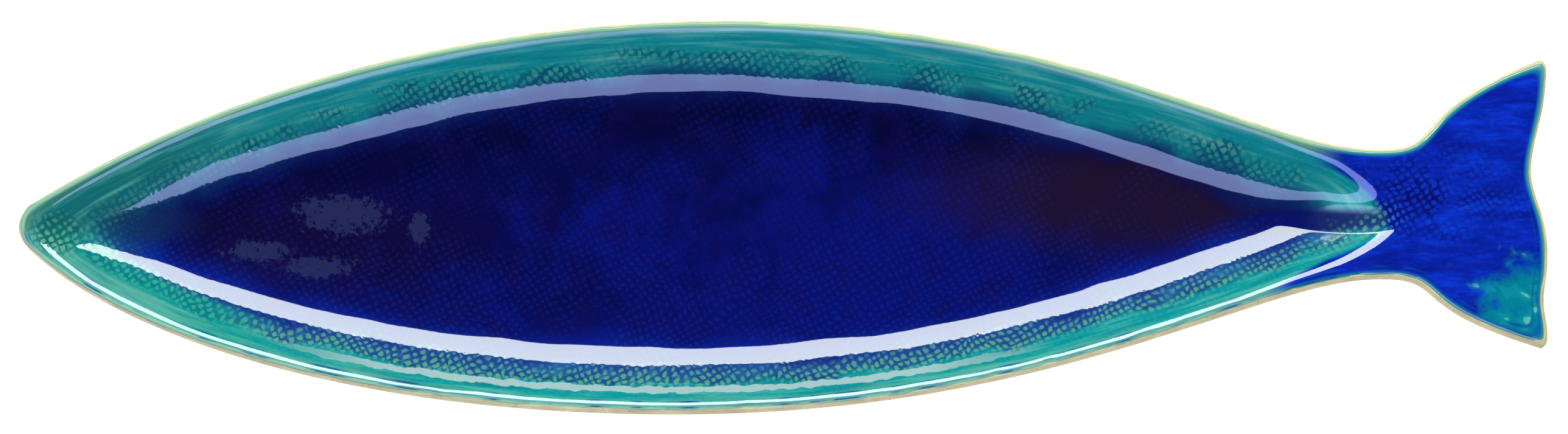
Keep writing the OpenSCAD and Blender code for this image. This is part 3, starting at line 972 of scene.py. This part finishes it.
def print_colour(tree, at, base, bumps, printed):
    """Dark glaze pooled where the threads lay, and pale glaze thinned over the bumps."""
    pooled = add(tree, "MapRange", {0: bumps, **THREAD_EDGE}, **SOFT)
    pooled_tone = coats(
        tree,
        colour("063a58"),
        (at.lower, "162a6b"),
        (at.calm, "065e68"),
        (at.nose_print, "0c544e"),
        (at.deep, "020228"),
        (at.brushed, "04084a"),
    )
    sized = add(tree, "Math", {0: at.nose_print, 1: SMALLER_AT_NOSE, 2: bumps}, operation="MULTIPLY_ADD")
    thinned = add(tree, "MapRange", {0: sized, **BUMP_EDGE}, **SOFT)
    by_wall = add(tree, "MapRange", {0: at.lower, **BUMPS_BY_WALL})
    thinned_tone = coats(
        tree,
        by_distance(tree, at.level, DOT_STOPS, WALL_REACH),
        (at.brushed, "0a2c9a"),
        (at.calm, "1c8a72"),
        (at.nose_print, "5e8468"),
        (patch(tree, at, *PALE_IN_CREASE), "3f7f80"),
    )
    return coats(
        tree,
        base,
        (overlap(tree, pooled, printed, at.under_glaze), pooled_tone),
        (overlap(tree, thinned, printed, by_wall), thinned_tone),
    )


print("bumps show over", BUMP_EDGE[1], "of their height")

# %% [markdown]
# ## The painted reflection stripe
# A pale stripe runs under the lower lip along the belly. It is a painted reflection: the
# bright backdrop behind the platter, mirrored where the lower wall is steepest, laid into
# the glaze's colour. It is all that lies within a millimetre of one line inside the bowl's
# edge, and a noise makes that line ripple.

# %% Painted reflection stripe
STRIPE_AT, STRIPE_W, RIPPLE_L, RIPPLE_MM = 6.9, span(1.05, 0.8, 0.9), 4.0, 0.45
STRIPE_MIDDLE, STRIPE_ENDS = -36.0, span(110.0, 75.0)


def painted_reflection_stripe(tree, at):
    """Share of the painted reflection stripe, which ripples a little and fades at both ends."""
    line = add(tree, "TexNoise", {"Vector": at.place, "Scale": 1 / RIPPLE_L, "Detail": 3.0})
    line = add(tree, "MapRange", {0: line, **span(*NOISE, STRIPE_AT - RIPPLE_MM, STRIPE_AT + RIPPLE_MM)})
    stripe = add(tree, "MapRange", {0: away_from(tree, at.bowl, line), **STRIPE_W}, **SOFT)
    ends = add(tree, "MapRange", {0: away_from(tree, at.x, STRIPE_MIDDLE), **STRIPE_ENDS})
    return overlap(tree, stripe, ends, at.lower)


print("stripe", STRIPE_AT, "mm inside the bowl's edge")

# %% [markdown]
# ## The rim
# Over the rim the glaze thins out: olive and then pale on the bowl, turquoise round the
# tail. Where it gathered just inside the lower rim there are two broken blue lines.

# %% Thin glaze at the rim
THIN_RIM, TAIL_BORDER = span(2.4, 1.3), span(2.7, 1.9)
DASH_L, DASHES = 11.111, span(0.46, 0.6)
RIM_LINES, RIM_LINE_W = (1.7, 3.4), span(0.4, 0.1, 0.9)


def rim_colour(tree, at, base):
    """The colours of the thinned edge and the broken blue lines inside it."""
    thin = add(tree, "MapRange", {0: at.rim, **THIN_RIM}, **SOFT)
    border = add(tree, "MapRange", {0: at.rim, **TAIL_BORDER}, **SOFT)
    thin = coats(tree, thin, (at.brushed, border))
    tone = by_distance(tree, at.rim, EDGE_STOPS, EDGE_REACH)
    tone = coats(tree, tone, (at.brushed, by_distance(tree, at.rim, TAIL_STOPS, EDGE_REACH)))
    base = coats(tree, base, (thin, tone))
    dash = add(tree, "CombineXYZ", {0: at.x, 1: at.side})
    dash = add(tree, "TexNoise", {"Vector": dash, "Scale": 1 / DASH_L, "Detail": 3.0})
    dash = add(tree, "MapRange", {0: dash, **DASHES})
    for line_at in RIM_LINES:
        line = add(tree, "MapRange", {0: away_from(tree, at.rim, line_at), **RIM_LINE_W}, **SOFT)
        base = coats(tree, base, (overlap(tree, line, dash, at.lower), "063c78"))
    return base


print("blue lines at", RIM_LINES, "mm from the rim")

# %% [markdown]
# ## Gloss and relief
# A poured glaze sets as smooth as glass, so its roughness is close to none. Only its
# thinnest edge is duller, and so are the middle of the upper lip and the crease before
# the tail. The bumps of the sacking barely lift it: two hundredths of a millimetre are
# enough to make the bright bands shiver.

# %% The three glazes
THIN_DULL, LIP_SMEAR = span(1.4, 0.4, 0.2, 0.035), span(5.5, 3.5, 0.13)
SMEARED_LIP = ((15.0, 40.0), (150.0, 60.0), 1.1, 0.7, 1.0)
DULL_CREASE = ((158.0, -0.5), (14.0, 4.5), 1.15, 0.6, 0.2)
PRINT_RELIEF = {"Strength": 0.55, "Distance": 0.02 * MM}
# The glaze's index of refraction, and the pale tone of the painted reflection stripe
GLAZE_IOR, STRIPE_REFLECTION_TONE = 1.55, "8ba3a6"
# Pooled cobalt is deep as ink, brushed cobalt bright and streaky, poured turquoise clear as water
GLAZE_NAMES = ("cobalt glaze, pooled", "cobalt glaze, brushed", "turquoise glaze, poured")


def roughness(tree, at):
    """How dull the glaze is: hardly at all, but for the edge, the upper lip and the crease."""
    dull = add(tree, "MapRange", {0: at.rim, **THIN_DULL})
    smear = add(tree, "MapRange", {0: at.rim, **LIP_SMEAR})
    smear = overlap(tree, smear, at.upper, patch(tree, at, *SMEARED_LIP))
    for more in (smear, patch(tree, at, *DULL_CREASE)):
        dull = add(tree, "Math", {0: dull, 1: more}, operation="ADD")
    return dull


def glaze(name):
    """A clear coloured glaze over the printed clay, from the wall's colours to the rim's."""
    made, tree, shader = material(name)
    at = places(tree)
    base = floor_colour(tree, at, wall_colour(tree, at))
    brushed_tone = tail_colour(tree, at)
    base = coats(tree, base, (at.brushed, brushed_tone))
    bumps, printed = sacking(tree, at), printed_share(tree, at)
    base = print_colour(tree, at, base, bumps, printed)
    # The pale stripe is a painted reflection of the backdrop, laid over the glaze colour
    base = coats(tree, base, (painted_reflection_stripe(tree, at), STRIPE_REFLECTION_TONE))
    tree.links.new(rim_colour(tree, at, base), shader.inputs["Base Color"])
    relief = overlap(tree, bumps, printed, at.under_glaze)
    tree.links.new(add(tree, "Bump", {**PRINT_RELIEF, "Height": relief}), shader.inputs["Normal"])
    tree.links.new(roughness(tree, at), shader.inputs["Roughness"])
    shader.inputs["IOR"].default_value = GLAZE_IOR
    return made


for (piece, node, slot_name), finish in zip(glazes, GLAZE_NAMES):
    piece.data.materials.append(glaze(finish))
    print(finish, len(piece.data.materials[0].node_tree.nodes), "nodes")

# %% [markdown]
# ## The bare clay
# Buff stoneware fires to the colour of oatmeal, with brown specks of grog, the crushed
# fired clay that a potter mixes in. Sponging leaves its surface dry and finely sandy.
# The foot is ground flat after the firing, so it is paler, and its grog stands out.

# %% Clay
CLOUDY_L, GROG_L = 8.333, 0.625
GROG_SPECKS, GROG_TONE = (0.63, 0.72), "4d3b26"
SANDY, ROUGH_SPREAD = {"Strength": 0.5, "Distance": 0.15 * MM}, 0.05


def stoneware(name, shade, pale, speck_share, rough):
    """Bare fired clay: two cloudy tones, specks of grog about half a millimetre wide."""
    made, tree, shader = material(name)
    place = add(tree, "VectorMath", {0: add(tree, "TexCoord", out=3), "Scale": 1 / MM}, operation="SCALE")
    cloudy = add(tree, "TexNoise", {"Vector": place, "Scale": 1 / CLOUDY_L, "Detail": 4.0, "Roughness": 0.6})
    grog = add(tree, "TexNoise", {"Vector": place, "Scale": 1 / GROG_L, "Detail": 3.0})
    tone = add(tree, "ValToRGB", {0: cloudy}, stops=((NOISE[0], shade), (NOISE[1], pale)))
    speck = add(tree, "MapRange", {0: grog, **span(*GROG_SPECKS, speck_share)})
    tree.links.new(coats(tree, tone, (speck, GROG_TONE)), shader.inputs["Base Color"])
    tree.links.new(add(tree, "Bump", {**SANDY, "Height": grog}), shader.inputs["Normal"])
    dry = add(tree, "MapRange", {0: cloudy, **span(*NOISE, rough + ROUGH_SPREAD, rough - ROUGH_SPREAD)})
    tree.links.new(dry, shader.inputs["Roughness"])
    return made


# Sponged clay is a warm, dry oatmeal, and ground clay is paler, a little smoother and more speckled
clay_body.data.materials.append(stoneware("buff stoneware, sponged", "a09670", "bfb488", 0.6, 0.82))
foot.data.materials.append(stoneware("buff stoneware, ground", "aca27c", "c9bf98", 0.8, 0.7))
print("clay with grog about", GROG_L, "mm across")

# %% [markdown]
# ## The floor
# A sweep of white paper is the plainest ground: it takes a soft shadow and throws light
# back under the rim. It glows a little, so that it stays white in front of the camera.

# %% Pale floor
# Matt paper: an even white with no shine of its own
FLOOR_W, PAPER_WHITE, PAPER_ROUGH, PAPER_GLOW = 12, "f4f4f2", 0.7, 0.4
deselect()
bpy.ops.mesh.primitive_plane_add(size=FLOOR_W)
floor = bpy.context.object
floor.name = "pale_floor"
paper, tree, shader = material("white paper sweep")
shader.inputs["Base Color"].default_value = colour(PAPER_WHITE)
shader.inputs["Roughness"].default_value = PAPER_ROUGH
shader.inputs["Emission Color"].default_value = colour("ffffff")
shader.inputs["Emission Strength"].default_value = PAPER_GLOW
floor.data.materials.append(paper)
print("floor", FLOOR_W, "m wide")

# %% [markdown]
# ## The lights
# Shiny pottery shows its lights more than itself. A long softbox behind the platter is
# mirrored in the wall nearer to the camera as a white band, and again as a hair line in
# its lip. A bluer one in front gives the lavender band in the other wall. Each is placed
# by its angle from straight above, because that angle picks the slope that mirrors it.
# The boxes that only lighten the colours are kept out of the mirror.

# %% Softboxes
# Name, degrees from straight above, size in metres, brightness, tint, degrees to the side and
# about its own axis, and whether the glaze mirrors it
SOFTBOXES = (
    ("key_softbox", 56.7, (1.5, 0.42), 11, "f6fff5", -8.5, -12, True),
    ("fill_softbox", 41.2, (1.4, 0.36), 5.4, "b1c2ff", 197.9, -9.7, True),
    ("front_softbox", 45, (1.6, 0.8), 1.5, "f4f6ff", 180, 0, False),
    ("left_softbox", 50, (1.2, 1.0), 1.9, "fffaf0", -90, 0, False),
    ("right_softbox", 50, (1.2, 1.0), 1.9, "fffaf0", 90, 0, False),
)
SOFTBOX_DISTANCE = 1.3
# Watts that give one square metre a brightness of one
WATTS = 4
middle = (cad_low + cad_high) / 2
look_at = Vector((middle.x, middle.y, rim_z))

for name, zenith, size, brightness, tint, side_turn, roll, mirrored in SOFTBOXES:
    down, round_up = math.radians(zenith), math.radians(side_turn)
    flat_way = (math.sin(down) * math.sin(round_up), math.sin(down) * math.cos(round_up))
    way = Vector((*flat_way, math.cos(down)))
    deselect()
    bpy.ops.object.light_add(type="AREA", location=look_at + way * SOFTBOX_DISTANCE)
    lamp = bpy.context.object
    lamp.name = name
    lamp.data.shape = "RECTANGLE"
    lamp.data.size, lamp.data.size_y = size
    lamp.data.color = colour(tint)[:3]
    lamp.data.energy = WATTS * size[0] * size[1] * brightness
    lamp.rotation_mode = "QUATERNION"
    lamp.rotation_quaternion = way.to_track_quat("Z", "Y") @ Quaternion((0, 0, 1), math.radians(roll))
    lamp.visible_camera = False
    lamp.visible_glossy = mirrored
print(len(SOFTBOXES), "softboxes")

# %% [markdown]
# ## The room
# The room is dark to everything but the camera, so nothing else shows in the glaze, and
# the camera sees it as white as the paper.

# %% Room
DARK_ROOM, SEEN_ROOM = 0.02, 1.0
world = bpy.data.worlds.new("studio")
bpy.context.scene.world = world
world.use_nodes = True
back = world.node_tree.nodes["Background"]
back.inputs["Color"].default_value = colour("ffffff")
seen = add(world.node_tree, "LightPath", out=0)
strength = add(world.node_tree, "MapRange", {0: seen, **span(0.0, 1.0, SEEN_ROOM, DARK_ROOM)})
world.node_tree.links.new(strength, back.inputs["Strength"])
bpy.context.scene.view_settings.view_transform = "Standard"
print("room", DARK_ROOM, "in the mirror and", SEEN_ROOM, "to the camera")

# %% [markdown]
# ## The camera
# It looks almost straight down, six degrees off, and takes in the platter with a narrow
# margin. The focal length follows from how wide a strip it has to see at its distance.

# %% Camera
TILT = math.radians(6)
CAMERA_DISTANCE, FRAME_W, SENSOR_W, FAR = 1.7, 0.4406, 36, 20
deselect()
view_way = Vector((0, -math.sin(TILT), math.cos(TILT)))
bpy.ops.object.camera_add(location=look_at + view_way * CAMERA_DISTANCE, rotation=(TILT, 0, 0))
camera = bpy.context.object
camera.data.sensor_width = SENSOR_W
camera.data.lens = SENSOR_W * CAMERA_DISTANCE / FRAME_W
camera.data.clip_end = FAR
bpy.context.scene.camera = camera
print("camera", CAMERA_DISTANCE, "m away, lens", round(camera.data.lens, 1), "mm")
